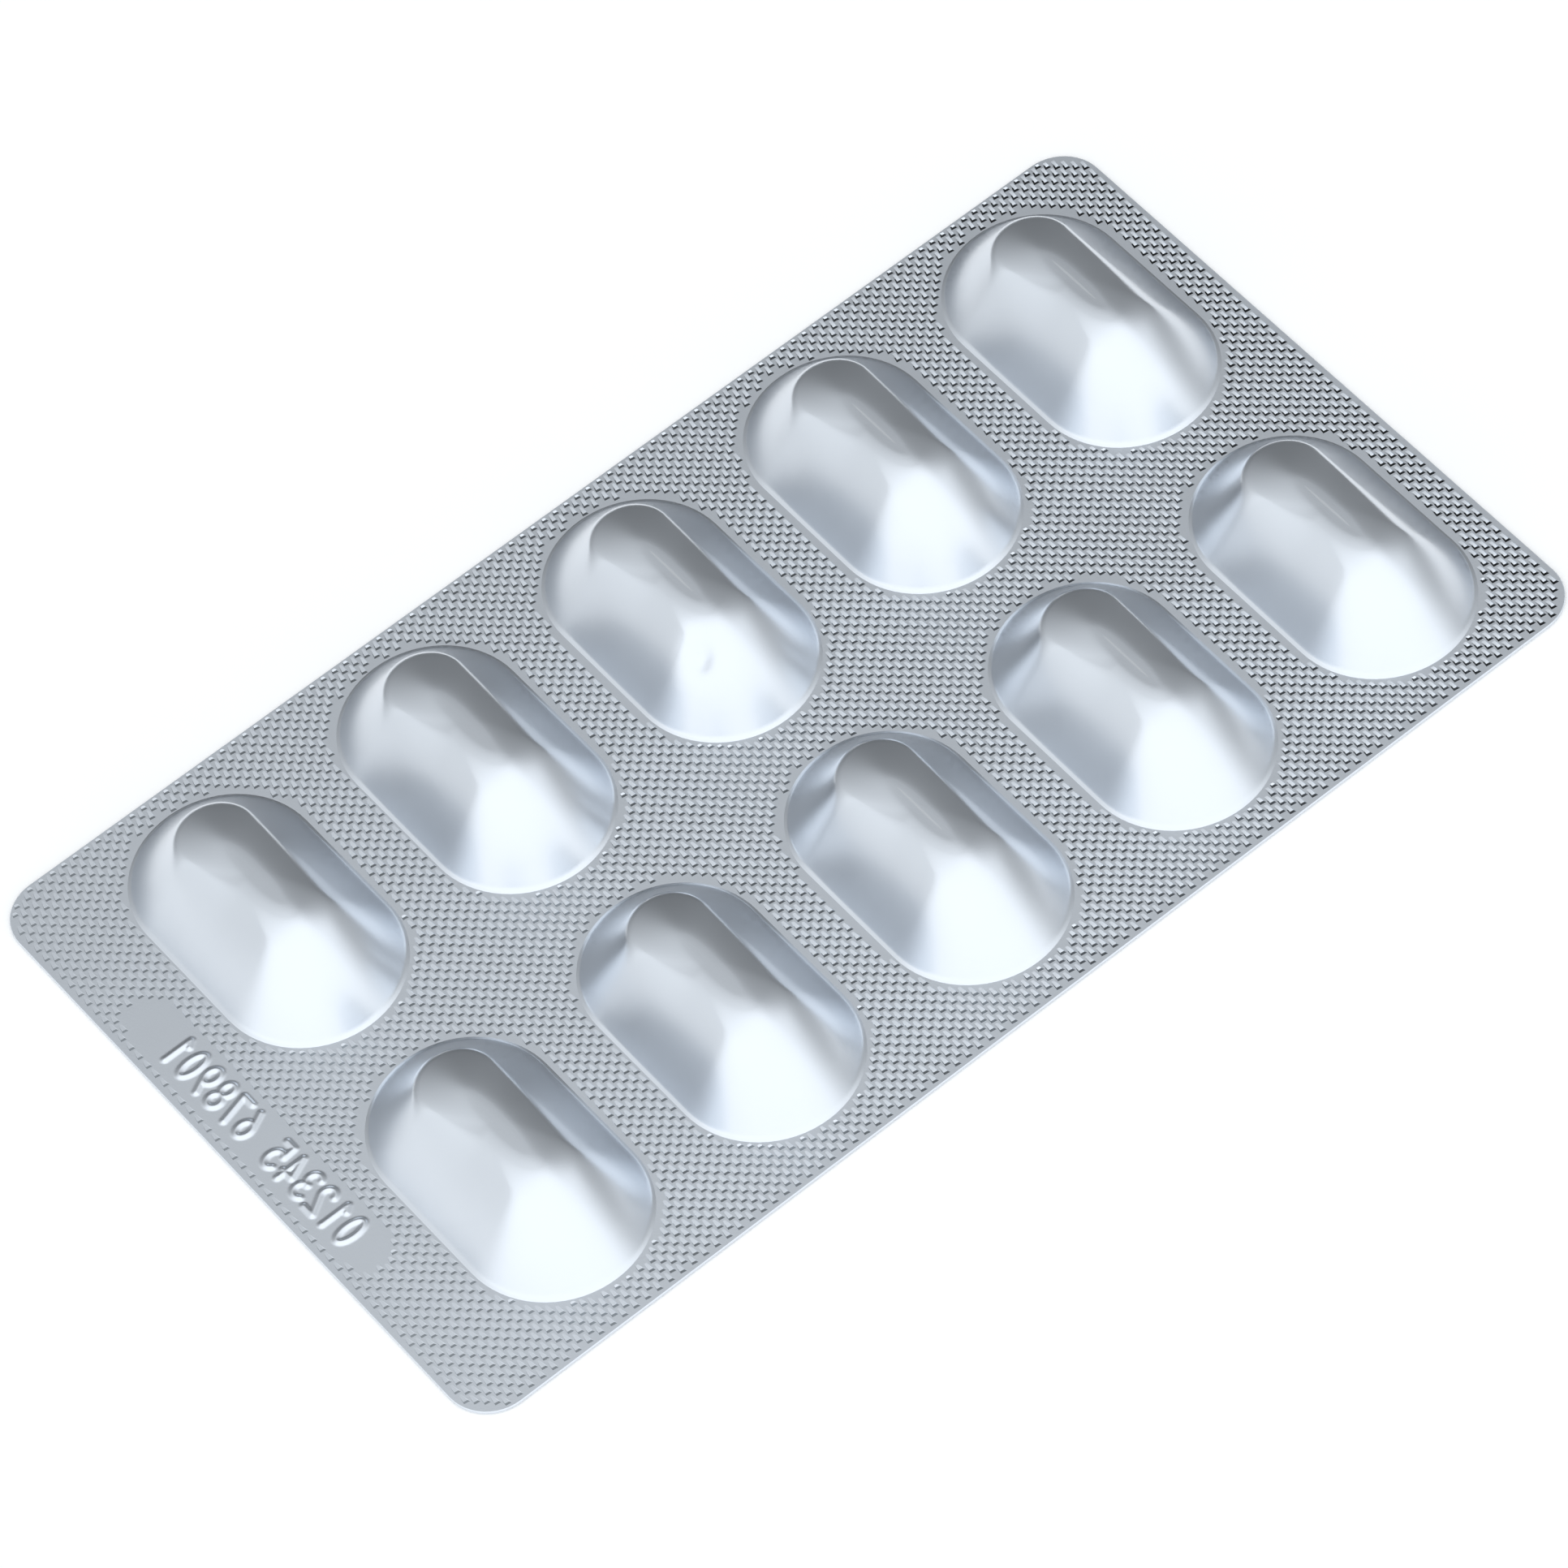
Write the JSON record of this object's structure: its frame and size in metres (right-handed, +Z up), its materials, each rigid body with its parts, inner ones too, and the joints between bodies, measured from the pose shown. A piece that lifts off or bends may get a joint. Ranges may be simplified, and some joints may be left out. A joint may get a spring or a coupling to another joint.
{
  "type": "blister pack",
  "caption": "Sealed flat foil blister pack with two rows of oblong raised pockets and a knurled seal.",
  "frame": {"origin": "centre of the pack's outline on the flat underside", "axes": "+X along the long side, away from the batch code strip; +Y across the pack; +Z up, the side on which the pockets stand out"},
  "size_m": [0.115, 0.066, 0.0073],
  "materials": {
    "foil": "satin film-laminated aluminium foil with a fine sealing knurl"
  },
  "bodies": {
    "root": {"blister_pack": "foil"}
  },
  "joints": []
}
